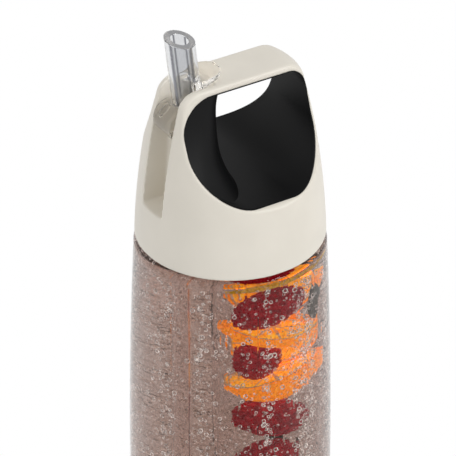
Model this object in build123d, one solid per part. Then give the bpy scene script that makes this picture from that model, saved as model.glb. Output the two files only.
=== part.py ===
from build123d import *
import os
from math import cos, radians, sin, sqrt, tan

# Fruit infuser water bottle: a clear drafted bottle, a screw lid whose top is an arched
# carrying handle with a soft black lining, a clear spout that folds into a channel in the
# lid, a straw, and a clear infuser basket with cut fruit in it.
# Millimetres. +Z is up, the origin is the centre of the face the bottle stands on, the
# spout is on the -Y side, and the handle's tunnel runs along X.

# Shared clearances
overrun = 2.0            # how far a cutting tool runs past the face that it cuts
far = 120.0              # reach of a cut that is open to the outside
fixed_gap = 0.1          # between two moulded parts that are assembled and stay put
running_gap = 0.05       # radial gap of a turning or sliding fit
seat_gap = 0.3           # between a loose part and the face that it rests against

# Bottle body, heights from the base
rim_height = 165.0       # height of the lid's lower rim
foot_radius = 41.2       # side of the bottle carried down to the base
belly_radius = 41.6
belly_height = 40.0
shoulder_radius = 38.2
base_rounding = 6.0
shoulder_rounding = 4.0
body_wall = 2.6
floor_thickness = 4.0
rim_gap = 0.4            # between the bottle's shoulder and the lid's rim
punt_radius = 30.0       # recess in the underside, inside the ring that it stands on
punt_depth = 1.2
neck_radius = 32.2
neck_bore_radius = 29.6
neck_height = 14.6       # above the lid's rim
inner_shoulder_drop = 3.0
inner_shoulder_height = 6.0

# Screw thread between neck and lid
thread_pitch = 4.5
thread_turns = 1.25
thread_root_width = 2.2
thread_crest_width = 1.0
thread_sink = 0.3        # how deep a ridge is rooted in its wall
neck_thread_height = 1.2
neck_thread_start = 3.4  # middle of the ridge, above the lid's rim
thread_clearance = 0.3   # radial, crest to root

# Lid shell, heights from the lid's rim
lid_rim_radius = 38.0
lid_middle_radius = 35.0
lid_middle_height = 34.0
lid_top_radius = 27.4    # the side carried up to the top face
lid_height = 72.8
lid_corner_radius = 8.0
lid_edge_rounding = 1.5
rim_rounding = 0.5
cavity_height = 19.0     # room for the threaded core
pocket_radius = 24.0     # lightening pocket above the core
pocket_offset = 6.0
pocket_height = 26.8

# Scoops that thin the lid to an arch, front and back: cylinders that lie along Y
scoop_radius = 49.3
scoop_height = 72.0
strap_half_width = 10.1  # half width of the strap at the scoops' height

# Mouth of the handle's tunnel, looking along X
mouth_left = -28.3
mouth_right = 27.9
mouth_low = 29.8
mouth_high = 70.4
mouth_low_rounding = 20.0
mouth_left_rounding = 15.0
mouth_right_rounding = 9.0
strap_underside_radius = 15.7
strap_middle_height = 66.6

# Handle lining
lining_wall = 1.0
lining_lip = 0.4         # its thin edge, in the mouth of the shell
lip_depth = 1.5          # thickness of the shell's edge in front of the lining
lip_setback = 0.2

# Bulge of the lining round the spout's chamber
bulge_apex = -9.0        # its innermost point
bulge_setback = 0.8      # from the scooped face
bulge_back = -34.0
# height in the mouth, and depth of the bulge, as shares of the mouth's height and bulge depth
bulge_shares = [(-0.12, 1.34), (0.02, 1.24), (0.15, 1.12), (0.30, 1.04), (0.48, 1.0),
                (0.66, 1.0), (0.82, 1.02), (0.94, 1.08), (1.08, 1.16)]

# Spout hinge and folded place
pivot_y = -24.0
pivot_height = 57.6
spout_lean = 6.3         # outward lean of the open spout, degrees

# Spout
spout_radius = 5.85
spout_bore_radius = 3.4
spout_length = 34.3      # from the hinge's level to the middle of the slanted mouth
spout_slant = 19.1       # degrees
spout_slant_turn = -38.8 # of the slant's rise about the tube, from the front
spout_offset = 5.2       # from the hinge axis to the tube's axis
spout_foot = 0.5         # how far the tube reaches past the hinge's level
bore_bottom = 0.8
hub_radius = 7.0
hub_half_width = 6.3
trunnion_radius = 2.2
trunnion_reach = 8.9     # from the middle plane
inlet_angle = 62.0       # of the water inlet, below the horizontal through the hinge
inlet_radius = 1.9
tab_half_width = 6.5
tab_reach = 15.0         # from the tube's axis
tab_top = 16.7           # above the hinge's level, along the tube
tab_tip_thickness = 1.6
tab_root_thickness = 3.3
tab_root = 5.0
tab_break = 9.5          # where the wedge under the tab ends
tab_break_thickness = 2.2

# Channel and chamber for the spout in the lid
slot_half_width = 7.0
slot_low = 20.3
slot_back_low = -25.4
slot_back_high = -23.4
chamber_low = 50.0
chamber_end = -12.4
tab_recess_end = -11.2
tab_recess_depth = 1.4
tab_recess_half_width = 7.2

# Threaded core of the lid
core_wall = 1.5
deck_thickness = 2.6
core_foot = 0.3          # gap under the core's skirt, above the lid's rim
shell_bore_radius = 35.3
riser_y = -18.0
riser_radius = 4.0
riser_bore_radius = 3.0
riser_top = 45.0
nipple_radius = 2.45
nipple_bore_radius = 1.7
nipple_length = 10.3
boss_wall = 1.6
boss_length = 11.3
vent_x = -17.0
vent_y = -4.0
vent_hole_radius = 1.6

# Soft parts
gasket_inner_radius = 29.9
gasket_outer_radius = 33.1
seal_top = 54.2
valve_cap_radius = 4.0
valve_cap_thickness = 1.2
valve_knob_radius = 2.2
valve_knob_height = 1.4

# Straw
straw_wall = 0.9
straw_tip_height = 8.0   # above the base

# Infuser basket
basket_y = 12.4
basket_radius = 16.0
collar_wall = 1.9
collar_height = 12.0
basket_wall = 1.5
basket_draft = 0.6
basket_bottom = 22.0     # above the base
basket_floor = 1.6
basket_slot_width = 2.4
basket_slot_length = 20.0
basket_slot_pitch = 26.0
basket_slot_rows = 5
basket_slots_round = 12
basket_slot_start = 12.0 # lowest slot, above the basket's floor
drain_radius = 1.5
drain_circle_radius = 8.0
drain_holes = 8

# Cut fruit, placed along the basket's axis; offsets are towards the front corner between
# spout and tunnel, and a lean of more than zero tips a piece's top to the spout's side
front_turn = -122.0      # turns a piece's face to that corner
fruit_gap = 0.4          # between a piece and the next one or the basket
rind_rounding = 1.0
disc_radius = 12.7       # whole lemon slice
disc_thickness = 5.0
disc_turn = 35.0         # from the front
back_radius = 11.8       # slices that stand behind the upper berries
back_thickness = 4.0
back_offset = -4.6
half_share = 0.68        # of its diameter that is left of a cut slice
top_share = 0.48
top_turn = 20.0
top_offset = -2.5
bowl_radius = 13.3       # half of a small orange, its cut face up
bowl_lean = 20.0
flat_radius = 13.3       # part of a slice that lies between berries
flat_thickness = 4.0
flat_cut = -2.0          # its straight side, from the basket's axis
flat_lean = -14.0
low_berry = (8.8, 18.4, 0.0)     # radius, length and lean
lying_berry = (8.4, 22.0, 62.0)
upper_berry = (6.9, 18.4, 0.0)
top_berry = (7.8, 24.0, -55.0)
low_berry_offset = 4.2
upper_berry_offset = 6.5
upper_berry_turn = -31.0
top_berry_offset = 5.7
leaf_length = 17.0
leaf_width = 9.0
leaf_thickness = 0.8
low_leaf_offset = -5.4
top_leaf_offset = 12.2
top_leaf_turn = 86.0

low_align = (Align.CENTER, Align.CENTER, Align.MIN)


# Bottle

def side_profile(inset, low, high):
    """Half outline of the bottle's drafted side between two heights, inset by a wall."""
    side = ThreePointArc(
        (foot_radius - inset, low), (belly_radius - inset, belly_height), (shoulder_radius - inset, high))
    return make_face([
        Line((0, low), (foot_radius - inset, low)), side,
        Line((shoulder_radius - inset, high), (0, high)), Line((0, high), (0, low))])


def corner(face, radius, place):
    """Rounds the corner of a half outline that lies nearest to a place."""
    nearest = min(face.vertices(), key=lambda v: abs(v.X - place[0]) + abs(v.Y - place[1]))
    return fillet(nearest, radius)


def turned(face):
    """Turns a half outline, drawn as radius and height, into a solid round Z."""
    return revolve(Plane.XZ * face, Axis.Z)


def ridge(root, crest, start):
    """Helical thread ridge between two radii, its middle starting at a height."""
    outward = 1 if crest > root else -1
    sunk = root - outward * thread_sink
    path = Helix(thread_pitch, thread_pitch * thread_turns, sunk)
    half_root = thread_root_width / 2
    half_crest = thread_crest_width / 2
    reach = abs(crest - sunk) * outward
    section = make_face(Polyline((0, -half_root), (reach, -half_crest), (reach, half_crest), (0, half_root),
                                 close=True))
    start_plane = Plane(origin=path @ 0, x_dir=(1, 0, 0), z_dir=path % 0)
    return Pos(0, 0, start) * sweep(start_plane * section, path, is_frenet=True)


def bottle_body():
    """Clear moulded bottle with a threaded neck, a ring to stand on and a recessed base."""
    shoulder_top = rim_height - rim_gap
    outside = side_profile(0, 0, shoulder_top)
    outside = corner(outside, base_rounding, (foot_radius, 0))
    outside = corner(outside, shoulder_rounding, (shoulder_radius, shoulder_top))
    inner_top = shoulder_top - inner_shoulder_height
    inside = side_profile(body_wall, floor_thickness, inner_top)
    inside = corner(inside, base_rounding - body_wall, (foot_radius - body_wall, floor_thickness))
    neck_top = rim_height + neck_height
    neck = Pos(0, 0, inner_top) * Cylinder(neck_radius, neck_top - inner_top, align=low_align)
    throat_low = shoulder_top - inner_shoulder_drop
    throat = turned(make_face(Polyline(
        (0, inner_top), (shoulder_radius - body_wall, inner_top), (neck_bore_radius, throat_low),
        (neck_bore_radius, neck_top + overrun), (0, neck_top + overrun), close=True)))
    punt = Cylinder(punt_radius, 2 * punt_depth)
    thread = Pos(0, 0, rim_height) * ridge(neck_radius, neck_radius + neck_thread_height, neck_thread_start)
    return turned(outside) + neck - turned(inside) - throat - punt + thread


# Lid shell and handle lining

def scoop_x(height):
    """Distance of the scooped face from the middle plane at a height of the lid."""
    drop = min(abs(scoop_height - height), scoop_radius)
    return strap_half_width + scoop_radius - sqrt(scoop_radius ** 2 - drop ** 2)


def lid_solid(inset):
    """Outer form of the lid, its faces set in by an inset."""
    top = lid_height - inset
    side = ThreePointArc(
        (lid_rim_radius - inset, 0), (lid_middle_radius - inset, lid_middle_height), (lid_top_radius - inset, top))
    outline = make_face([
        Line((0, 0), (lid_rim_radius - inset, 0)), side,
        Line((lid_top_radius - inset, top), (0, top)), Line((0, top), (0, 0))])
    outline = corner(outline, lid_corner_radius - inset, (lid_top_radius - inset, top))
    solid = turned(outline)
    for sign in (-1, 1):
        place = Pos(sign * (strap_half_width + scoop_radius), 0, scoop_height)
        solid -= place * Rot(X=90) * Cylinder(scoop_radius + inset, far)
    return solid


def tunnel_prism(grow):
    """Straight tunnel along X with the mouth's outline, grown outward."""
    left = mouth_left - grow
    right = mouth_right + grow
    low = mouth_low - grow
    high = mouth_high + grow
    outline = make_face(Polyline((left, low), (right, low), (right, high), (left, high), close=True))
    outline = corner(outline, mouth_low_rounding + grow, (left, low))
    outline = corner(outline, mouth_low_rounding + grow, (right, low))
    outline = corner(outline, mouth_right_rounding + grow, (right, high))
    outline = corner(outline, mouth_left_rounding + grow, (left, high))
    return extrude(Plane.YZ * outline, far / 2, both=True)


def bulge(grow):
    """Rounded column round the spout's chamber, set back as the tunnel grows."""
    full_depth = bulge_apex - mouth_left
    sections = []
    for height_share, depth_share in bulge_shares:
        height = mouth_low + height_share * (mouth_high - mouth_low)
        half_width = scoop_x(height) - bulge_setback - grow
        depth = full_depth * depth_share - grow
        reach = min(half_width, depth)
        centre = mouth_left + depth - reach
        front = EllipticalCenterArc((0, centre), half_width, reach, 0, arc_size=180)
        outline = Wire([
            front,
            Line((-half_width, centre), (-half_width, bulge_back)),
            Line((-half_width, bulge_back), (half_width, bulge_back)),
            Line((half_width, bulge_back), (half_width, centre))])
        sections.append(Pos(0, 0, height) * Face(outline))
    return loft(sections)


def tunnel(grow):
    """Room inside the handle: the straight tunnel less the bulge and the strap's belly."""
    belly_centre = strap_middle_height + strap_underside_radius
    belly = Pos(0, 0, belly_centre) * Rot(X=90) * Cylinder(strap_underside_radius - grow, far)
    return tunnel_prism(grow) - bulge(grow) - belly


def spout_room():
    """Channel for the folded spout and chamber round its hinge, open to the outside."""
    channel = make_face(Polyline(
        (-far, slot_low), (slot_back_low, slot_low), (slot_back_high, chamber_low),
        (slot_back_high, pivot_height), (-far, pivot_height), close=True))
    room = extrude(Plane.YZ * channel, slot_half_width, both=True)
    end_y = chamber_end - slot_half_width
    height = lid_height - chamber_low + overrun
    room += Pos(0, end_y, chamber_low) * Cylinder(slot_half_width, height, align=low_align)
    room += Pos(0, end_y, chamber_low) * Box(
        2 * slot_half_width, far, height, align=(Align.CENTER, Align.MAX, Align.MIN))
    recess_low = lid_height - tab_recess_depth
    room += Pos(0, tab_recess_end, recess_low) * Box(
        2 * tab_recess_half_width, tab_recess_end - end_y, tab_recess_depth + overrun,
        align=(Align.CENTER, Align.MAX, Align.MIN))
    return room


def lid_shell():
    """Cream outer lid: skirt, arched handle, spout channel and hinge holes."""
    shell = lid_solid(0)
    scooped = [f for f in shell.faces() if f.geom_type == GeomType.CYLINDER]
    creases = [edge for face in scooped for edge in face.edges()]
    shell = fillet(creases, lid_edge_rounding) - tunnel(0)
    shell -= tunnel(lining_wall) & lid_solid(lip_depth)
    shell -= spout_room()
    shell -= Pos(0, pivot_y, pivot_height) * Rot(Y=90) * Cylinder(
        trunnion_radius + running_gap, 2 * (trunnion_reach + fixed_gap))
    shell -= Cylinder(shell_bore_radius, 2 * cavity_height)
    shell -= Pos(0, pocket_offset, 0) * Cylinder(pocket_radius, pocket_height, align=low_align)
    shell -= Pos(0, riser_y, 0) * Cylinder(riser_radius + fixed_gap, chamber_low + fixed_gap, align=low_align)
    rim = shell.edges().filter_by(GeomType.CIRCLE).group_by(Axis.Z)[0]
    return fillet(rim, rim_rounding)


def handle_lining():
    """Soft black lining of the handle's tunnel, its edge tucked behind the shell's."""
    lip = tunnel(-fixed_gap / 2) & lid_solid(lip_setback)
    wall = tunnel(lining_wall - running_gap) & lid_solid(lip_depth + fixed_gap)
    return lip + wall - tunnel(-lining_lip)


# Core of the lid and the soft parts that it holds

skirt_radius = shell_bore_radius - fixed_gap
skirt_bore_radius = skirt_radius - core_wall
deck_top = cavity_height - fixed_gap
deck_low = deck_top - deck_thickness
boss_radius = basket_radius - collar_wall - fixed_gap


def lid_core():
    """Threaded core: skirt, deck, straw nipple, riser to the spout and boss for the basket."""
    skirt = Pos(0, 0, core_foot) * (
        Cylinder(skirt_radius, deck_top - core_foot, align=low_align)
        - Cylinder(skirt_bore_radius, deck_low - core_foot, align=low_align))
    crest = neck_radius + thread_clearance
    thread = ridge(skirt_bore_radius, crest, neck_thread_start + thread_pitch / 2)
    boss_low = deck_low - boss_length
    boss = Pos(0, basket_y, boss_low) * (
        Cylinder(boss_radius, boss_length, align=low_align)
        - Cylinder(boss_radius - boss_wall, boss_length, align=low_align))
    nipple_low = deck_low - nipple_length
    nipple = Pos(0, riser_y, nipple_low) * Cylinder(nipple_radius, nipple_length, align=low_align)
    riser = Pos(0, riser_y, deck_top) * Cylinder(riser_radius, riser_top - deck_top, align=low_align)
    core = skirt + thread + boss + nipple + riser
    core -= Pos(0, riser_y, nipple_low) * Cylinder(
        nipple_bore_radius, riser_top - nipple_low, align=low_align)
    core -= Pos(0, riser_y, deck_top) * Cylinder(riser_bore_radius, riser_top - deck_top, align=low_align)
    return core - Pos(vent_x, vent_y, deck_low) * Cylinder(vent_hole_radius, deck_thickness, align=low_align)


def lid_gasket():
    """Silicone ring between the neck's lip and the core's deck."""
    low = neck_height + fixed_gap
    thickness = deck_low - fixed_gap - low
    return Pos(0, 0, low) * (
        Cylinder(gasket_outer_radius, thickness, align=low_align)
        - Cylinder(gasket_inner_radius, thickness, align=low_align))


def rod(start, end, radius):
    """Round bar from one point to another."""
    axis = Vector(end) - Vector(start)
    return Plane(origin=start, z_dir=axis) * Cylinder(radius, axis.length, align=low_align)


inlet_y = pivot_y + hub_radius * cos(radians(inlet_angle))
inlet_height = pivot_height - hub_radius * sin(radians(inlet_angle))


def spout_seal():
    """Silicone seat on the riser, hollowed to the spout's hub, with a passage to its inlet."""
    low = riser_top + fixed_gap
    seal = Pos(0, riser_y, low) * Cylinder(riser_radius, seal_top - low, align=low_align)
    seal -= Pos(0, pivot_y, pivot_height) * Rot(Y=90) * Cylinder(hub_radius + fixed_gap, far)
    bend = low + inlet_radius
    seal -= Pos(0, riser_y, low) * Cylinder(inlet_radius, bend - low, align=low_align)
    seal -= Pos(0, riser_y, bend) * Sphere(inlet_radius)
    return seal - rod((0, riser_y, bend), (0, inlet_y, inlet_height + inlet_radius), inlet_radius)


def vent_valve():
    """Silicone umbrella valve that lets air into the bottle."""
    cap_top = deck_low - fixed_gap
    cap = Cylinder(valve_cap_radius, valve_cap_thickness, align=(Align.CENTER, Align.CENTER, Align.MAX))
    stem_length = deck_thickness + 2 * fixed_gap
    stem = Cylinder(vent_hole_radius - fixed_gap, stem_length, align=low_align)
    knob = Pos(0, 0, stem_length) * Cone(valve_knob_radius, vent_hole_radius, valve_knob_height, align=low_align)
    return Pos(vent_x, vent_y, cap_top) * (cap + stem + knob)


def straw():
    """Clear straw pushed over the core's nipple."""
    bore = nipple_radius + running_gap
    low = straw_tip_height - rim_height
    length = deck_low - fixed_gap - low
    return Pos(0, riser_y, low) * (
        Cylinder(bore + straw_wall, length, align=low_align) - Cylinder(bore, length, align=low_align))


# Spout

def spout():
    """Clear mouthpiece: slanted tube, hub with trunnions and inlet, and thumb tab."""
    tube = Pos(0, 0, -spout_foot) * Cylinder(
        spout_radius, spout_foot + spout_length + spout_radius, align=low_align)
    slanted = Pos(0, 0, spout_length) * Rot(Z=spout_slant_turn) * Rot(X=-spout_slant) * Box(
        far, far, far, align=low_align)
    tube -= slanted
    hinge = Pos(0, -spout_offset, 0)
    hub = hinge * Rot(Y=90) * Cylinder(hub_radius, 2 * hub_half_width)
    trunnions = hinge * Rot(Y=90) * Cylinder(trunnion_radius, 2 * trunnion_reach)
    profile = make_face(Polyline(
        (0, tab_top), (0, tab_top - tab_root_thickness), (tab_root, tab_top - tab_root_thickness),
        (tab_break, tab_top - tab_break_thickness), (tab_reach, tab_top - tab_tip_thickness),
        (tab_reach, tab_top), close=True))
    tab = extrude(Plane.YZ * profile, tab_half_width, both=True)
    round_y = tab_reach - tab_half_width
    plan = Pos(0, round_y, tab_top) * Cylinder(tab_half_width, 2 * tab_top) + Pos(0, 0, tab_top) * Box(
        2 * tab_half_width, round_y, 2 * tab_top, align=(Align.CENTER, Align.MIN, Align.CENTER))
    body = tube + hub + trunnions + (tab & plan)
    bore = Pos(0, 0, bore_bottom) * Cylinder(spout_bore_radius, far, align=low_align)
    turn = radians(inlet_angle + spout_lean)
    reach = hub_radius + overrun
    inlet_start = (0, -spout_offset + reach * cos(turn), -reach * sin(turn))
    inlet_end = (0, inlet_radius - spout_bore_radius, bore_bottom + inlet_radius)
    body = body - bore - rod(inlet_start, inlet_end, inlet_radius)
    lean = radians(spout_lean)
    foot = (0, pivot_y + spout_offset * cos(lean), pivot_height + spout_offset * sin(lean))
    return Pos(*foot) * Rot(X=spout_lean) * body


# Infuser basket and fruit

def infuser_basket():
    """Clear drafted basket with a collar, rows of slots and drain holes."""
    top = rim_height + deck_low - seat_gap
    collar_low = top - collar_height
    bore = basket_radius - collar_wall
    bottom_bore = bore - basket_draft
    floor_top = basket_bottom + basket_floor
    wall = turned(make_face(Polyline(
        (0, basket_bottom), (bottom_bore + basket_wall, basket_bottom), (bore + basket_wall, collar_low),
        (basket_radius, collar_low), (basket_radius, top), (bore, top), (bore, collar_low),
        (bottom_bore, floor_top), (0, floor_top), close=True)))
    cutter = Box(basket_slot_width, basket_radius + overrun, basket_slot_length,
                 align=(Align.CENTER, Align.MIN, Align.MIN))
    cutters = []
    for row in range(basket_slot_rows):
        height = floor_top + basket_slot_start + row * basket_slot_pitch
        for turn in range(basket_slots_round):
            angle = (turn + row % 2 / 2) * 360 / basket_slots_round
            cutters.append(Pos(0, 0, height) * Rot(Z=angle) * Pos(0, bottom_bore / 2, 0) * cutter)
    for turn in range(drain_holes):
        cutters.append(Rot(Z=turn * 360 / drain_holes) * Pos(drain_circle_radius, 0, basket_bottom)
                       * Cylinder(drain_radius, 2 * basket_floor + overrun))
    return Pos(0, basket_y, 0) * (wall - cutters)


def slice_solid(radius, thickness, share=1.0):
    """Citrus slice on edge, its lowest point at the origin: a disc, or the part below a chord."""
    disc = Rot(X=90) * Cylinder(radius, thickness)
    disc = fillet(disc.edges().filter_by(GeomType.CIRCLE), rind_rounding)
    if share < 1:
        disc -= Pos(0, 0, radius * (2 * share - 1)) * Box(far, far, far, align=low_align)
    return Pos(0, 0, radius) * disc


def flat_slice():
    """Larger part of a citrus slice that lies down, the middle of the whole slice at the origin."""
    disc = Cylinder(flat_radius, flat_thickness)
    disc = fillet(disc.edges().filter_by(GeomType.CIRCLE), rind_rounding)
    disc -= Pos(0, flat_cut, 0) * Box(far, far, far, align=(Align.CENTER, Align.MAX, Align.CENTER))
    return Rot(Y=flat_lean) * disc


def bowl_solid():
    """Half of an orange, its cut face up and leaning, the middle of that face at the origin."""
    bowl = Sphere(bowl_radius) - Box(far, far, far, align=low_align)
    bowl = fillet(bowl.edges().filter_by(GeomType.CIRCLE).group_by(Axis.Z)[-1], rind_rounding)
    return Rot(Y=bowl_lean) * bowl


def berry_solid(berry):
    """Berry, longer than it is wide, its middle at the origin."""
    radius, length, lean = berry
    half = length / 2
    outline = make_face([
        EllipticalCenterArc((0, 0), radius, half, -90, arc_size=180), Line((0, half), (0, -half))])
    return Rot(Y=lean) * turned(outline)


def berry_reach(berry, slope=0.0):
    """Distance from a berry's middle to the plane, level or at a slope, that it lies against."""
    radius, length, lean = berry
    between = radians(lean - slope)
    return sqrt((length / 2 * cos(between)) ** 2 + (radius * sin(between)) ** 2)


def leaf_solid():
    """Pointed leaf on end, its stalk at the origin."""
    half = leaf_width / 2
    middle = leaf_length / 2
    plan = make_face([
        ThreePointArc((0, 0), (half, middle), (0, leaf_length)),
        ThreePointArc((0, leaf_length), (-half, middle), (0, 0))])
    return extrude(Plane.XZ * plan, leaf_thickness / 2, both=True)


def fruit_pile():
    """Pieces of fruit in the basket, from its floor to the neck, by name, each resting on the last."""
    pile_low = basket_bottom + basket_floor + fruit_gap
    low_leaf_height = pile_low + 2 * disc_radius + fruit_gap
    low_height = low_leaf_height + berry_reach(low_berry)
    lying_height = low_height + berry_reach(low_berry) + fruit_gap + berry_reach(lying_berry)
    bowl_height = lying_height + berry_reach(lying_berry) + fruit_gap + bowl_radius
    bowl_slope = cos(radians(bowl_lean))
    back_low = bowl_height + (back_radius + fruit_gap) / bowl_slope - back_radius
    aside = -upper_berry_offset * sin(radians(upper_berry_turn))
    upper_height = (bowl_height - aside * tan(radians(bowl_lean))
                    + (berry_reach(upper_berry, bowl_lean) + fruit_gap) / bowl_slope)
    flat_slope = cos(radians(flat_lean))
    flat_height = (upper_height + aside * tan(radians(flat_lean))
                   + (berry_reach(upper_berry, flat_lean) + fruit_gap + flat_thickness / 2) / flat_slope)
    top_height = flat_height + (flat_thickness / 2 + fruit_gap + berry_reach(top_berry, flat_lean)) / flat_slope
    leaf_height = flat_height + (flat_thickness / 2 + fruit_gap) / flat_slope
    back_half_low = back_low + 2 * back_radius + fruit_gap
    lemon_low = back_half_low + 2 * back_radius * half_share + fruit_gap
    back = slice_solid(back_radius, back_thickness)
    back_half = slice_solid(back_radius, back_thickness, half_share)
    lemon_part = slice_solid(back_radius, back_thickness, top_share)
    places = {
        "lemon_slice_low": (slice_solid(disc_radius, disc_thickness), disc_turn, 0, pile_low),
        "berry_low": (berry_solid(low_berry), 0, low_berry_offset, low_height),
        "mint_leaf_low": (leaf_solid(), 0, low_leaf_offset, low_leaf_height),
        "berry_middle": (berry_solid(lying_berry), 0, 0, lying_height),
        "orange_half": (bowl_solid(), 0, 0, bowl_height),
        "orange_slice_back": (back, 0, back_offset, back_low),
        "berry_upper": (berry_solid(upper_berry), upper_berry_turn, upper_berry_offset, upper_height),
        "orange_slice_flat": (flat_slice(), 0, 0, flat_height),
        "berry_top": (berry_solid(top_berry), 0, top_berry_offset, top_height),
        "orange_half_slice": (back_half, 0, back_offset, back_half_low),
        "lemon_half_slice": (lemon_part, top_turn, top_offset, lemon_low),
        "mint_leaf_top": (leaf_solid(), top_leaf_turn, top_leaf_offset, leaf_height),
    }
    return {name: Pos(0, basket_y, height) * Rot(Z=front_turn + turn) * Pos(0, offset, 0) * piece
            for name, (piece, turn, offset, height) in places.items()}


pieces_of_lid = {
    "lid_shell": lid_shell, "handle_lining": handle_lining, "lid_core": lid_core, "lid_gasket": lid_gasket,
    "spout_seal": spout_seal, "vent_valve": vent_valve, "straw": straw, "spout": spout,
}

os.makedirs("parts", exist_ok=True)
export_step(bottle_body(), "parts/bottle_body.step")
export_step(infuser_basket(), "parts/infuser_basket.step")
for name, make in pieces_of_lid.items():
    export_step(Pos(0, 0, rim_height) * make(), f"parts/{name}.step")
for name, piece in fruit_pile().items():
    export_step(piece, f"parts/{name}.step")
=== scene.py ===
import random
from math import cos, pi, radians, sin, sqrt

import bmesh
import bpy
from mathutils import Matrix, Vector


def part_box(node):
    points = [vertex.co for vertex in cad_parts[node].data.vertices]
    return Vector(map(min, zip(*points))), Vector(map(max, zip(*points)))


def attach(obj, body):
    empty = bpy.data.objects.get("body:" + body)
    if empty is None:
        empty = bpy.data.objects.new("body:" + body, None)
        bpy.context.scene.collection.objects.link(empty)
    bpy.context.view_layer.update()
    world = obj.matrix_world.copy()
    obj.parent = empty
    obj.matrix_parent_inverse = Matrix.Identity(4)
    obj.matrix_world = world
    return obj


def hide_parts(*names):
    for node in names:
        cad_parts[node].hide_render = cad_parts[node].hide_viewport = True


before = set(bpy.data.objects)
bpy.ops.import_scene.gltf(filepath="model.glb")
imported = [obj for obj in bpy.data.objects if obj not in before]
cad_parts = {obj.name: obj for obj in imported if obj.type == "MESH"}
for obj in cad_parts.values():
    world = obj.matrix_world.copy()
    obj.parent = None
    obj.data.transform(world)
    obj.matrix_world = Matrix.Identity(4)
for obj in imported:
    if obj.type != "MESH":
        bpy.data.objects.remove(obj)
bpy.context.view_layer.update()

# Camera: a long lens looking down at the lid from the front corner, between the spout and the
# handle's opening.
mm = 0.001
azimuth = radians(58.0)
elevation = radians(32.9)
distance = 1186 * mm
aim = Vector((-0.57, -0.71, 165.07)) * mm
back = Vector((sin(azimuth) * cos(elevation), -cos(azimuth) * cos(elevation), sin(elevation)))
camera_data = bpy.data.cameras.new("camera")
camera_data.sensor_width = 36.0
camera_data.lens = 236.84
camera_data.clip_start = 0.05
camera_data.clip_end = 50.0
camera = bpy.data.objects.new("camera", camera_data)
camera.location = aim + distance * back
camera.rotation_euler = (-back).to_track_quat("-Z", "Y").to_euler()
bpy.context.scene.collection.objects.link(camera)
bpy.context.scene.camera = camera
bpy.context.scene.view_settings.view_transform = "Standard"


# Studio: matt white floor and even white surroundings under a dim ceiling, and two large soft
# lamps. The floor and the surroundings are plain white where they are seen, also in gloss and
# through clear plastic; the ceiling shows only there, as the dark lines that give glass its form.
def colour(code):
    """sRGB hex to linear RGBA."""
    channels = [int(code[i:i + 2], 16) / 255 for i in (1, 3, 5)]
    return tuple(c / 12.92 if c <= 0.04045 else ((c + 0.055) / 1.055) ** 2.4 for c in channels) + (1.0,)


def add(tree, kind, settings=None, **links):
    """Adds a node; inputs take a value or another node's output."""
    made = tree.nodes.new(kind)
    for key, value in (settings or {}).items():
        setattr(made, key, value)
    for key, value in links.items():
        socket = made.inputs[int(key[1:]) if key[1:].isdigit() else key.replace("_", " ")]
        if isinstance(value, bpy.types.NodeSocket):
            tree.links.new(value, socket)
        else:
            socket.default_value = value
    return made


def seen_directly(tree):
    """1 for rays from the camera, from gloss and through clear plastic, else 0."""
    path = add(tree, "ShaderNodeLightPath")
    seen = add(tree, "ShaderNodeMath", {"operation": "ADD"}, _0=path.outputs["Is Camera Ray"],
               _1=path.outputs["Is Glossy Ray"])
    return add(tree, "ShaderNodeMath", {"operation": "ADD", "use_clamp": True}, _0=seen.outputs[0],
               _1=path.outputs["Is Transmission Ray"]).outputs[0]


world = bpy.data.worlds.new("studio")
bpy.context.scene.world = world
world.use_nodes = True
tree = world.node_tree
tree.nodes.clear()
height = add(tree, "ShaderNodeSeparateXYZ", Vector=add(tree, "ShaderNodeTexCoord").outputs["Generated"])
ceiling = add(tree, "ShaderNodeMapRange", Value=height.outputs["Z"], From_Min=0.5, From_Max=0.75,
              To_Min=1.0, To_Max=0.25)
camera_ray = add(tree, "ShaderNodeLightPath").outputs["Is Camera Ray"]
brightness = add(tree, "ShaderNodeMath", {"operation": "MAXIMUM"}, _0=ceiling.outputs[0], _1=camera_ray)
lit = add(tree, "ShaderNodeBackground", Color=colour("#FFFFFF"), Strength=0.58)
seen = add(tree, "ShaderNodeBackground", Color=colour("#FFFFFF"), Strength=brightness.outputs[0])
mixed = add(tree, "ShaderNodeMixShader", _0=seen_directly(tree), _1=lit.outputs[0], _2=seen.outputs[0])
add(tree, "ShaderNodeOutputWorld", Surface=mixed.outputs[0])

floor_material = bpy.data.materials.new("matt_white_floor")
floor_material.use_nodes = True
tree = floor_material.node_tree
tree.nodes.clear()
paint = add(tree, "ShaderNodeBsdfDiffuse", Color=colour("#F2F2F2"))
glow = add(tree, "ShaderNodeEmission", Color=colour("#FFFFFF"), Strength=1.0)
mixed = add(tree, "ShaderNodeMixShader", _0=seen_directly(tree), _1=paint.outputs[0], _2=glow.outputs[0])
add(tree, "ShaderNodeOutputMaterial", Surface=mixed.outputs[0])
bm = bmesh.new()
bmesh.ops.create_grid(bm, x_segments=1, y_segments=1, size=4.0)
floor_mesh = bpy.data.meshes.new("floor")
bm.to_mesh(floor_mesh)
bm.free()
floor_mesh.materials.append(floor_material)
floor = bpy.data.objects.new("floor", floor_mesh)
bpy.context.scene.collection.objects.link(floor)


def lamp(name, azimuth_deg, elevation_deg, away, size, power):
    """Square soft lamp that faces the lid."""
    data = bpy.data.lights.new(name, "AREA")
    data.size = size
    data.energy = power
    made = bpy.data.objects.new(name, data)
    turn, lift = radians(azimuth_deg), radians(elevation_deg)
    direction = Vector((sin(turn) * cos(lift), -cos(turn) * cos(lift), sin(lift)))
    made.location = Vector((0, 0, 0.17)) + away * direction
    made.rotation_euler = (-direction).to_track_quat("-Z", "Y").to_euler()
    bpy.context.scene.collection.objects.link(made)


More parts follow.
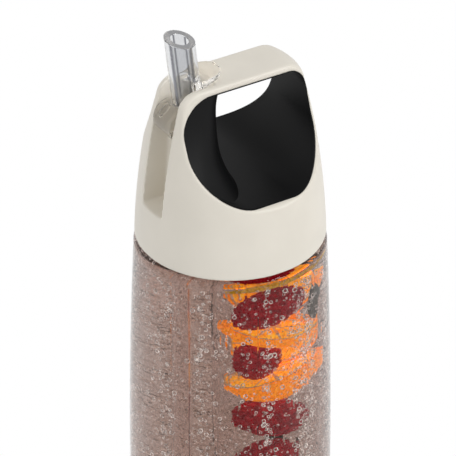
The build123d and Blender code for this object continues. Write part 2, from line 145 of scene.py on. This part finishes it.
lamp("key", azimuth_deg=116, elevation_deg=34, away=1.5, size=0.55, power=8.2)
lamp("fill", azimuth_deg=2, elevation_deg=44, away=1.5, size=0.45, power=3.2)


# Bottle: clear copolyester, blow-moulded in one piece with its threaded neck. Polished by the
# mould, it is clear in front and faintly grey where the wall is seen edge on.
def material(name, base, rough, **settings):
    """A material with one Principled shader, and that shader."""
    made = bpy.data.materials.new(name)
    made.use_nodes = True
    made.node_tree.nodes.clear()
    shader = add(made.node_tree, "ShaderNodeBsdfPrincipled", Base_Color=colour(base), Roughness=rough,
                 **settings)
    add(made.node_tree, "ShaderNodeOutputMaterial", Surface=shader.outputs[0])
    return made, shader


def painted(node, look):
    """Gives a CAD node its material."""
    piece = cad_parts[node]
    piece.data.materials.clear()
    piece.data.materials.append(look)


# The tint halves what the wall mirrors face on: water lies against its inner side, so that side
# mirrors next to nothing.
clear_bottle, _ = material("clear_copolyester_bottle", "#F3F1F2", 0.015, Transmission_Weight=1.0, IOR=1.54,
                           Specular_Tint=colour("#808080"))
painted("bottle_body", clear_bottle)


# Infuser basket: clear moulded copolyester with rows of slots, pushed over the lid's core. Its
# index is that of the plastic against water, in which it nearly vanishes.
clear_basket, _ = material("clear_copolyester_basket", "#FCFAFA", 0.03, Transmission_Weight=1.0, IOR=1.045,
                           Specular_Tint=colour("#909090"))
painted("infuser_basket", clear_basket)


# Citrus: slices and halves of orange and lemon, cut across the fruit, so that each shows its
# rind, white pith and ten segments of wet pulp. They lie loose in the basket.
basket_y, front_turn = 12.4, -122.0
rind_thickness, pith_thickness = 1.0, 0.7
segment_count, web = 10, 0.5
disc_radius, disc_thickness = 12.7, 5.0
back_radius, back_thickness, back_offset = 11.8, 4.0, -4.6
half_share, top_share = 0.68, 0.48
bowl_radius, bowl_lean = 13.3, 20
flat_thickness, flat_cut, flat_lean = 4.0, 2.0, -14
rind_rounding, pulp_rounding, pulp_bulge, pulp_depth = 0.9, 0.35, 0.15, 2.0


def mottled(tree, shader, low, high, grain_mm, detail=3.0):
    """Soft colour variation between two shades, its patches a given size."""
    place = add(tree, "ShaderNodeTexCoord").outputs["Object"]
    noise = add(tree, "ShaderNodeTexNoise", Vector=place, Scale=1000 / grain_mm, Detail=detail)
    ramp = add(tree, "ShaderNodeValToRGB", _0=noise.outputs[0])
    ramp.color_ramp.elements[0].position = 0.35
    ramp.color_ramp.elements[0].color = colour(low)
    ramp.color_ramp.elements[1].position = 0.65
    ramp.color_ramp.elements[1].color = colour(high)
    tree.links.new(ramp.outputs[0], shader.inputs["Base Color"])
    return ramp


def fleshy(name, low, high, grain_mm, glow, bump_mm=0.25):
    """Wet flesh: mottled, rounded cells, and a painted glow for the light that shines through it."""
    look, shader = material(name, high, 0.25, IOR=1.38, Specular_IOR_Level=0.3, Emission_Strength=glow)
    tree = look.node_tree
    ramp = mottled(tree, shader, low, high, grain_mm)
    tree.links.new(ramp.outputs[0], shader.inputs["Emission Color"])
    place = add(tree, "ShaderNodeTexCoord").outputs["Object"]
    cells = add(tree, "ShaderNodeTexVoronoi", {"feature": "SMOOTH_F1"}, Vector=place, Scale=1000 / grain_mm)
    bump = add(tree, "ShaderNodeBump", {"invert": True}, Strength=0.5, Distance=bump_mm * mm,
               Height=cells.outputs[0])
    tree.links.new(bump.outputs[0], shader.inputs["Normal"])
    return look


# The rind is fine and pebbled, the pith pale, and the pulp coarse and bright; a painted glow
# stands in for the light that comes through wet, thin-skinned cells.
pith = fleshy("citrus_pith", "#F6D89A", "#FBE8C0", 1.5, 0.35, 0.1)
citrus_looks = {
    "orange": (fleshy("orange_rind", "#FF8A08", "#FFA41E", 1.2, 1.1), pith,
               fleshy("orange_pulp", "#FF9E0A", "#FFC830", 2.2, 1.15)),
    "lemon": (fleshy("lemon_rind", "#E8B800", "#F6D030", 1.2, 0.4), pith,
              fleshy("lemon_pulp", "#F2C030", "#FBE070", 2.2, 0.5)),
}


def finished(name, made, looks, body, replaces=(), sharp=40):
    """Object from a bmesh: shaded smooth up to an angle, riding on a body."""
    mesh = bpy.data.meshes.new(name)
    made.to_mesh(mesh)
    made.free()
    mesh.shade_smooth()
    mesh.set_sharp_from_angle(angle=radians(sharp))
    for look in looks:
        mesh.materials.append(look)
    piece = bpy.data.objects.new(name, mesh)
    bpy.context.scene.collection.objects.link(piece)
    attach(piece, body)
    if replaces:
        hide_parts(*replaces)
    return piece


def set_in_basket(made, turn, offset, z, lean=0.0):
    """Leans a piece to its side, then moves it from the origin to its place in the basket."""
    place = Matrix.Translation(Vector((0, basket_y, z)) * mm)
    turned = Matrix.Rotation(radians(front_turn + turn), 4, "Z")
    aside = Matrix.Translation(Vector((0, offset, 0)) * mm)
    leaned = Matrix.Rotation(radians(lean), 4, "Y")
    bmesh.ops.transform(made, verts=made.verts, matrix=place @ turned @ aside @ leaned)


def add_segments(made, reach, low, high):
    """Wedges of pulp between two heights, round the upright axis, with rounded edges."""
    for i in range(segment_count):
        middle = 2 * pi * (i + 0.5) / segment_count
        span = pi / segment_count
        wedge = bmesh.ops.create_circle(made, cap_ends=True, segments=60, radius=reach * mm,
                                        matrix=Matrix.Translation((0, 0, low * mm)))
        parts = wedge["verts"]
        for side in (-1, 1):
            away = Vector((-sin(middle + side * span), cos(middle + side * span), 0)) * side
            geom = [g for v in parts for g in (v, *v.link_edges, *v.link_faces)]
            cut = bmesh.ops.bisect_plane(made, geom=list(dict.fromkeys(geom)), plane_no=away,
                                         plane_co=-away * web / 2 * mm, clear_outer=True)
            parts = [v for v in parts if v.is_valid]
            parts += [g for g in cut["geom_cut"] if isinstance(g, bmesh.types.BMVert)]
        grown = bmesh.ops.extrude_face_region(made, geom=[parts[0].link_faces[0]])
        top = [g for g in grown["geom"] if isinstance(g, bmesh.types.BMVert)]
        bmesh.ops.translate(made, verts=top, vec=(0, 0, (high - low) * mm))
        shell = list(dict.fromkeys(f for v in [*parts, *top] if v.is_valid for f in v.link_faces))
        for f in shell:
            f.material_index = 2
        bmesh.ops.recalc_face_normals(made, faces=shell)
        edges = dict.fromkeys(e for f in shell for e in f.edges)
        rims = [e for e in edges if abs(sum(f.normal.z for f in e.link_faces)) > 0.9]
        bmesh.ops.bevel(made, geom=rims, offset=pulp_rounding * mm, offset_type="OFFSET", affect="EDGES",
                        segments=2, profile=0.5, material=-1)


def cut_off(made, point, direction):
    """Cuts off what lies beyond a plane and closes the cut with pulp."""
    geom = made.verts[:] + made.edges[:] + made.faces[:]
    cut = bmesh.ops.bisect_plane(made, geom=geom, plane_co=point, plane_no=direction, clear_outer=True)
    rims = [e for e in cut["geom_cut"] if isinstance(e, bmesh.types.BMEdge)]
    filled = bmesh.ops.edgeloop_fill(made, edges=rims)
    for f in filled["faces"]:
        f.material_index = 2


def slice_mesh(radius, thickness):
    """Whole slice that lies flat, its middle at the origin."""
    made = bmesh.new()
    half = thickness / 2
    bmesh.ops.create_cone(made, cap_ends=True, segments=72, radius1=radius * mm, radius2=radius * mm,
                          depth=(thickness - 2 * pulp_bulge) * mm)
    rims = [e for e in made.edges if any(abs(f.normal.z) > 0.9 for f in e.link_faces)]
    bmesh.ops.bevel(made, geom=rims, offset=rind_rounding * mm, offset_type="OFFSET", affect="EDGES",
                    segments=3, profile=0.5, material=-1)
    caps = [f for f in made.faces if abs(f.normal.z) > 0.99]
    bmesh.ops.inset_region(made, faces=caps, thickness=0.15 * mm, depth=0)
    for f in caps:
        f.material_index = 1
    add_segments(made, radius - rind_thickness - pith_thickness, -half, half)
    return made


def slice_on_edge(name, kind, radius, thickness, share, turn, offset):
    """Slice on edge; below a whole share it is cut off flat on top."""
    made = slice_mesh(radius, thickness)
    bmesh.ops.rotate(made, verts=made.verts, cent=(0, 0, 0), matrix=Matrix.Rotation(pi / 2, 3, "X"))
    if share < 1:
        cut_off(made, (0, 0, radius * (2 * share - 1) * mm), (0, 0, 1))
    bmesh.ops.recalc_face_normals(made, faces=made.faces)
    set_in_basket(made, turn, offset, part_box(name)[0][2] / mm + radius)
    finished(name + "_fruit", made, citrus_looks[kind], "basket", (name,), sharp=35)


slice_on_edge("lemon_slice_low", "lemon", disc_radius, disc_thickness, share=1, turn=35, offset=0)
slice_on_edge("orange_slice_back", "orange", back_radius, back_thickness, share=1, turn=0,
              offset=back_offset)
slice_on_edge("orange_half_slice", "orange", back_radius, back_thickness, share=half_share, turn=0,
              offset=back_offset)
slice_on_edge("lemon_half_slice", "lemon", back_radius, back_thickness, share=top_share, turn=20,
              offset=-2.5)

# Lying slice of orange, cut off at one side.
made = slice_mesh(bowl_radius, flat_thickness)
cut_off(made, (0, -flat_cut * mm, 0), (0, -1, 0))
bmesh.ops.recalc_face_normals(made, faces=made.faces)
low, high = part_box("orange_slice_flat")
set_in_basket(made, 0, 0, (low[2] + high[2]) / 2 / mm, flat_lean)
finished("orange_slice_flat_fruit", made, citrus_looks["orange"], "basket", ("orange_slice_flat",),
         sharp=35)

# Half orange, its cut face up.
made = bmesh.new()
bmesh.ops.create_uvsphere(made, u_segments=72, v_segments=36, radius=bowl_radius * mm)
geom = made.verts[:] + made.edges[:] + made.faces[:]
cut = bmesh.ops.bisect_plane(made, geom=geom, plane_co=(0, 0, -pulp_bulge * mm), plane_no=(0, 0, 1),
                             clear_outer=True)
rim = [e for e in cut["geom_cut"] if isinstance(e, bmesh.types.BMEdge)]
bmesh.ops.edgeloop_fill(made, edges=rim)
rim = [e for e in made.edges if any(f.normal.z > 0.99 for f in e.link_faces)]
bmesh.ops.bevel(made, geom=rim, offset=rind_rounding * mm, offset_type="OFFSET", affect="EDGES", segments=3,
                profile=0.5, material=-1)
cap = max(made.faces, key=lambda f: f.calc_area())
cap.material_index = 1
add_segments(made, bowl_radius - rind_thickness - pith_thickness, -pulp_depth, 0)
bmesh.ops.recalc_face_normals(made, faces=made.faces)
set_in_basket(made, 0, 0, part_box("orange_half")[0][2] / mm + bowl_radius, bowl_lean)
finished("orange_half_fruit", made, citrus_looks["orange"], "basket", ("orange_half",), sharp=35)


# Berries: raspberries, each a core covered with small round drupelets, wet and dark red. They
# lean or lie between the slices of citrus.
drop_radius, drop_count = 1.65, 110
# Like the citrus, the berries glow a little with painted light.
berry_look = fleshy("raspberry", "#8A0818", "#B81022", grain_mm=2.0, glow=0.5, bump_mm=0.1)


def ball(radius, steps, rows):
    """Small round mesh of few faces, made once and copied."""
    made = bmesh.new()
    bmesh.ops.create_uvsphere(made, u_segments=steps, v_segments=rows, radius=radius)
    mesh = bpy.data.meshes.new("ball")
    made.to_mesh(mesh)
    made.free()
    return mesh


def raspberry(name, radius, length, turn, offset, lean):
    """Drupelets spread evenly over an egg-shaped core."""
    made = bmesh.new()
    wide, tall = radius - drop_radius, length / 2 - drop_radius
    bmesh.ops.create_uvsphere(made, u_segments=24, v_segments=16, radius=mm,
                              matrix=Matrix.Diagonal((wide, wide, tall, 1)))
    drop = ball(drop_radius * mm, steps=8, rows=5)
    for i in range(drop_count):
        level = 1 - (2 * i + 1) / drop_count
        ring = sqrt(1 - level * level)
        around = i * pi * (3 - sqrt(5))
        middle = Vector((cos(around) * ring * wide, sin(around) * ring * wide, level * tall))
        spot = Matrix.Translation(middle * mm)
        drop.transform(spot)
        made.from_mesh(drop)
        drop.transform(spot.inverted())
    low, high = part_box(name)
    set_in_basket(made, turn, offset, (low[2] + high[2]) / 2 / mm, lean)
    finished(name + "_fruit", made, [berry_look], "basket", (name,), sharp=60)


raspberry("berry_low", radius=8.8, length=18.4, turn=0, offset=4.2, lean=0)
raspberry("berry_middle", radius=8.4, length=22.0, turn=0, offset=0, lean=62)
raspberry("berry_upper", radius=6.9, length=18.4, turn=-31, offset=6.5, lean=0)
raspberry("berry_top", radius=7.8, length=24.0, turn=0, offset=5.7, lean=-55)


# Mint leaves: thin, veined, toothed at the edge and folded along the midrib. Steeped for a
# while, they have gone a dull dark green, and stand pressed between fruit and basket.
leaf_length, leaf_width, leaf_thickness = 17.0, 9.0, 0.35
leaf_fold, leaf_rows, leaf_steps, tooth_depth = 0.24, 24, 3, 0.07
# The leaf glows faintly with painted light in its own colour.
leaf_look, shader = material("steeped_mint_leaf", "#45452F", 0.45, Emission_Color=colour("#45452F"),
                             Emission_Strength=0.15)
mottled(leaf_look.node_tree, shader, "#2E3424", "#565638", 1.6)


def mint_leaf(name, turn, offset):
    """Half a blade is drawn out row by row from the stalk, mirrored at the midrib and thickened."""
    made = bmesh.new()
    line = [made.verts.new((k / leaf_steps * 0.01 * mm, 0, 0)) for k in range(leaf_steps + 1)]
    edges = [made.edges.new(pair) for pair in zip(line, line[1:])]
    for i in range(1, leaf_rows + 1):
        along = i / leaf_rows
        grown = bmesh.ops.extrude_edge_only(made, edges=edges)
        edges = [g for g in grown["geom"] if isinstance(g, bmesh.types.BMEdge)]
        line = sorted((g for g in grown["geom"] if isinstance(g, bmesh.types.BMVert)), key=lambda v: v.co.x)
        outline = sin(pi * min(along, 0.985)) ** 0.8
        half = leaf_width / 2 * outline * (1 - tooth_depth + tooth_depth * (i % 2))
        for k, v in enumerate(line):
            v.co = Vector((half * k / leaf_steps, -leaf_fold * k / leaf_steps, leaf_length * along)) * mm
    bmesh.ops.mirror(made, geom=made.verts[:] + made.edges[:] + made.faces[:], axis="X", merge_dist=1e-6)
    bmesh.ops.recalc_face_normals(made, faces=made.faces)
    bmesh.ops.solidify(made, geom=made.faces[:], thickness=leaf_thickness * mm)
    set_in_basket(made, turn, offset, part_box(name)[0][2] / mm)
    finished(name + "_blade", made, [leaf_look], "basket", (name,), sharp=50)


mint_leaf("mint_leaf_low", turn=0, offset=-5.4)
mint_leaf("mint_leaf_top", turn=86, offset=12.2)


# Water: an infusion tinted by the fruit, which fills the bottle up into the neck. It meets the
# bottle's wall with a slight overlap, so that no film of air lies between them.
body_wall, floor_thickness, floor_round = 2.6, 4.0, 6.0
inner_top, throat_low, water_top = 158.6, 161.6, 172.0
neck_bore_radius, wetting = 29.6, 0.08


def side_radius(z, inset):
    """Radius of the drafted side, on the arc through its foot, belly and shoulder."""
    z1, z2, z3 = floor_thickness, 40.0, inner_top
    r1, r2, r3 = 41.2 - inset, 41.6 - inset, 38.2 - inset
    part1 = r1 * (z - z2) * (z - z3) / ((z1 - z2) * (z1 - z3))
    part2 = r2 * (z - z1) * (z - z3) / ((z2 - z1) * (z2 - z3))
    return part1 + part2 + r3 * (z - z1) * (z - z2) / ((z3 - z1) * (z3 - z2))


inset = body_wall - wetting
straight_low = floor_thickness + floor_round
profile = [(0, floor_thickness - wetting)]
for i in range(9):
    turn = radians(90 * i / 8)
    profile.append((side_radius(straight_low, inset) - floor_round * (1 - sin(turn)),
                    floor_thickness - wetting + floor_round * (1 - cos(turn))))
for i in range(1, 41):
    z = straight_low + (inner_top - straight_low) * i / 40
    profile.append((side_radius(z, inset), z))
profile += [(neck_bore_radius + wetting, throat_low), (neck_bore_radius + wetting, water_top),
            (0, water_top)]
made = bmesh.new()
ends = [made.verts.new((r * mm, 0, z * mm)) for r, z in profile]
edges = [made.edges.new(pair) for pair in zip(ends, ends[1:])]
bmesh.ops.spin(made, geom=ends + edges, cent=(0, 0, 0), axis=(0, 0, 1), angle=2 * pi, steps=96,
               use_merge=True)
bmesh.ops.remove_doubles(made, verts=made.verts, dist=1e-7)
bmesh.ops.recalc_face_normals(made, faces=made.faces)

# Fine cloudy streaks of pulp on its surface; its volume turns long paths through it a warm grey-pink.
tinted, shader = material("fruit_tinted_water", "#FFFFFF", 0.0, Transmission_Weight=1.0, IOR=1.333,
                          Specular_Tint=colour("#606060"))
tree = tinted.node_tree
mottled(tree, shader, "#C8BAB2", "#FFFFFF", 1.0, 2.0)
absorb = add(tree, "ShaderNodeVolumeAbsorption", Color=colour("#B38359"), Density=18.0)
output = next(n for n in tree.nodes if n.type == "OUTPUT_MATERIAL")
tree.links.new(absorb.outputs[0], output.inputs["Volume"])
finished("water", made, [tinted], "bottle", sharp=50)


# Fizz: small bubbles of gas that cling to the wall and rise through the water in columns. The
# rim of each is a painted reflection of the pale studio, glowing in painted light and shade, while its
# middle is clear.
rng = random.Random(7)
# Painted reflection: a pale glowing rim, mottled with painted light and shade, shown where the sphere is
# seen edge on.
fizz, shader = material("gas_bubble_painted_rim", "#F2ECE8", 0.15, Emission_Strength=0.7)
tree = fizz.node_tree
rim_light_and_shade = mottled(tree, shader, "#3E302C", "#FFF8F2", 0.9, 1.0)
tree.links.new(rim_light_and_shade.outputs[0], shader.inputs["Emission Color"])
rim_view = add(tree, "ShaderNodeLayerWeight", Blend=0.5).outputs["Facing"]
rim_alpha = add(tree, "ShaderNodeMapRange", Value=rim_view, From_Min=0.15, From_Max=0.4, To_Min=0.02,
                To_Max=0.95)
tree.links.new(rim_alpha.outputs[0], shader.inputs["Alpha"])
rise_low, rise_high, fizz_inner_radius, wall_gap = 14, 157, 29.4, 0.15
column_count, column_share, clump_count = 22, 0.6, 200
still_water, still_reach, still_share = radians(299), 0.085, 0.85
bias = 2.5  # most bubbles are small, and most are near the wall
columns = [(rng.uniform(0, 2 * pi), rng.uniform(0.02, 0.09)) for _ in range(column_count)]


def bubbles(name, count, steps, rows, smallest, largest):
    """Bubbles just inside the wall, most of them in columns, built in clumps and then joined."""
    whole = bmesh.new()
    for _ in range(count // clump_count):
        clump = bmesh.new()
        drop = ball(mm, steps, rows)
        for _ in range(clump_count):
            size = smallest + (largest - smallest) * rng.random() ** bias
            z = rng.uniform(rise_low, rise_high)
            in_column = rng.random() < column_share
            turn = rng.gauss(*rng.choice(columns)) if in_column else rng.uniform(0, 2 * pi)
            if abs(turn % (2 * pi) - still_water) < still_reach and rng.random() < still_share:
                turn += rng.choice((-1, 1)) * rng.uniform(0.1, 0.4)
            reach = side_radius(z, body_wall) - size - wall_gap
            radius = reach - (reach - fizz_inner_radius - size) * rng.random() ** bias
            middle = Vector((radius * cos(turn), radius * sin(turn), z))
            spot = Matrix.Translation(middle * mm) @ Matrix.Scale(size, 4)
            drop.transform(spot)
            clump.from_mesh(drop)
            drop.transform(spot.inverted())
        mesh = bpy.data.meshes.new(name)
        clump.to_mesh(mesh)
        clump.free()
        whole.from_mesh(mesh)
        bpy.data.meshes.remove(mesh)
    finished(name, whole, [fizz], "bottle", sharp=80)


bubbles("fizz_large", count=4000, steps=8, rows=4, smallest=0.45, largest=1.1)
bubbles("fizz_small", count=8000, steps=5, rows=3, smallest=0.2, largest=0.45)


# Straw: extruded clear tube, pushed over the nipple under the lid. Under water it nearly
# vanishes, like the basket.
clear_straw, _ = material("clear_straw", "#FFFDFD", 0.03, Transmission_Weight=1.0, IOR=1.09,
                          Specular_Tint=colour("#909090"))
painted("straw", clear_straw)


# Lid core, gasket, spout seat and valve: a satin polypropylene core snapped into the lid, and
# milky silicone parts pressed into it, hidden while the lid is closed.
core_look, shader = material("satin_polypropylene", "#DDD8CD", 0.45)
mottled(core_look.node_tree, shader, "#DAD4C8", "#DFDACF", 14.0)
painted("lid_core", core_look)
silicone, shader = material("milky_silicone", "#DADADB", 0.5)
mottled(silicone.node_tree, shader, "#D4D4D6", "#E2E2E2", 6.0)
for node in ("lid_gasket", "spout_seal", "vent_valve"):
    painted(node, silicone)


# Lid shell: cream ABS, moulded in one piece with its arched handle. Its edges are slightly
# rounded and its skin has a fine satin grain.
def softened(node, voxel_mm, rounds, keep):
    """Copy of a CAD node's mesh with its sharp edges rounded as a mould leaves them."""
    made = bmesh.new()
    made.from_mesh(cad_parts[node].data)
    bmesh.ops.remove_doubles(made, verts=made.verts, dist=1e-6)
    mesh = bpy.data.meshes.new(node + "_raw")
    made.to_mesh(mesh)
    made.free()
    piece = bpy.data.objects.new(node + "_raw", mesh)
    bpy.context.scene.collection.objects.link(piece)
    remesh = piece.modifiers.new("remesh", "REMESH")
    remesh.mode = "VOXEL"
    remesh.voxel_size = voxel_mm * mm
    smooth = piece.modifiers.new("smooth", "SMOOTH")
    smooth.factor = 0.5
    smooth.iterations = rounds
    thin = piece.modifiers.new("thin", "DECIMATE")
    thin.ratio = keep
    bpy.context.view_layer.update()
    result = bpy.data.meshes.new_from_object(piece.evaluated_get(bpy.context.evaluated_depsgraph_get()))
    bpy.data.objects.remove(piece)
    out = bmesh.new()
    out.from_mesh(result)
    return out


def grained(tree, shader, grain_mm, depth_mm, strength):
    """Fine moulded grain as bump."""
    place = add(tree, "ShaderNodeTexCoord").outputs["Object"]
    noise = add(tree, "ShaderNodeTexNoise", Vector=place, Scale=1000 / grain_mm, Detail=2.0)
    bump = add(tree, "ShaderNodeBump", Strength=strength, Distance=depth_mm * mm, Height=noise.outputs[0])
    tree.links.new(bump.outputs[0], shader.inputs["Normal"])


cream_abs, shader = material("satin_cream_abs", "#E4DED2", 0.42)
mottled(cream_abs.node_tree, shader, "#E2DCD0", "#E6E0D4", 18.0)
grained(cream_abs.node_tree, shader, grain_mm=0.5, depth_mm=0.03, strength=0.25)
made = softened("lid_shell", voxel_mm=0.5, rounds=7, keep=0.6)
finished("lid_shell_moulded", made, [cream_abs], "lid", ("lid_shell",), sharp=60)


# Handle lining: black TPE, moulded into the handle's tunnel. It is matt, with a soft grain that
# swallows nearly all light.
black_tpe, shader = material("black_tpe", "#060607", 0.5, Specular_IOR_Level=0.16)
mottled(black_tpe.node_tree, shader, "#050506", "#070708", 10.0)
grained(black_tpe.node_tree, shader, grain_mm=0.8, depth_mm=0.04, strength=0.3)
painted("handle_lining", black_tpe)


# Spout: clear copolyester mouthpiece, moulded in one piece with its hub and thumb tab, whose pin
# ends snap into the lid. The tube is polished and faintly grey, the thick hub slightly clouded, and
# the mouth's cut end dull.
hinge_y, hinge_z, spout_lean = -24.0, 222.6, radians(6.3)
tube_offset, tube_radius, hub_radius = 5.2, 5.85, 7.0
tube_margin, mouth_facing = 0.2, 0.6

# Painted shade: dark lines down the tube's length, painted where it is seen edge on, for the bore's sides
# seen through the thick wall.
polished, shader = material("polished_copolyester_tube", "#DCDDDF", 0.03, Transmission_Weight=1.0, IOR=1.54)
tree = polished.node_tree
facing = add(tree, "ShaderNodeLayerWeight", Blend=0.5).outputs["Facing"]
painted_bore_shade = add(tree, "ShaderNodeValToRGB", _0=facing)
stops = painted_bore_shade.color_ramp.elements
stops[0].color = colour("#DCDDDF")
stops[1].color = colour("#DCDDDF")
for place, shade in ((0.24, "#D8D9DB"), (0.31, "#44454C"), (0.38, "#44454C"), (0.46, "#EEEFF0")):
    stops.new(place).color = colour(shade)
tree.links.new(painted_bore_shade.outputs[0], shader.inputs["Base Color"])
clouded, _ = material("clouded_copolyester_hub", "#F6F3EE", 0.06, Transmission_Weight=0.93, IOR=1.2)
dulled, _ = material("dull_copolyester_mouth", "#B4B4B6", 0.3, Transmission_Weight=0.35, IOR=1.4)

made = softened("spout", voxel_mm=0.22, rounds=3, keep=0.6)
along = Vector((0, -sin(spout_lean), cos(spout_lean)))
foot = Vector((0, hinge_y + tube_offset * cos(spout_lean), hinge_z + tube_offset * sin(spout_lean))) * mm
for face in made.faces:
    reach = face.calc_center_median() - foot
    beside = (reach - reach.dot(along) * along).length
    on_tube = beside < (tube_radius + tube_margin) * mm and reach.dot(along) > hub_radius * mm
    at_mouth = face.normal.dot(along) > mouth_facing
    face.material_index = 1 if not on_tube else 2 if at_mouth else 0
piece = finished("spout_moulded", made, [polished, clouded, dulled], "spout", ("spout",),
                 sharp=60)
piece.visible_shadow = False  # clear plastic lets the lamps' light into the slot behind it
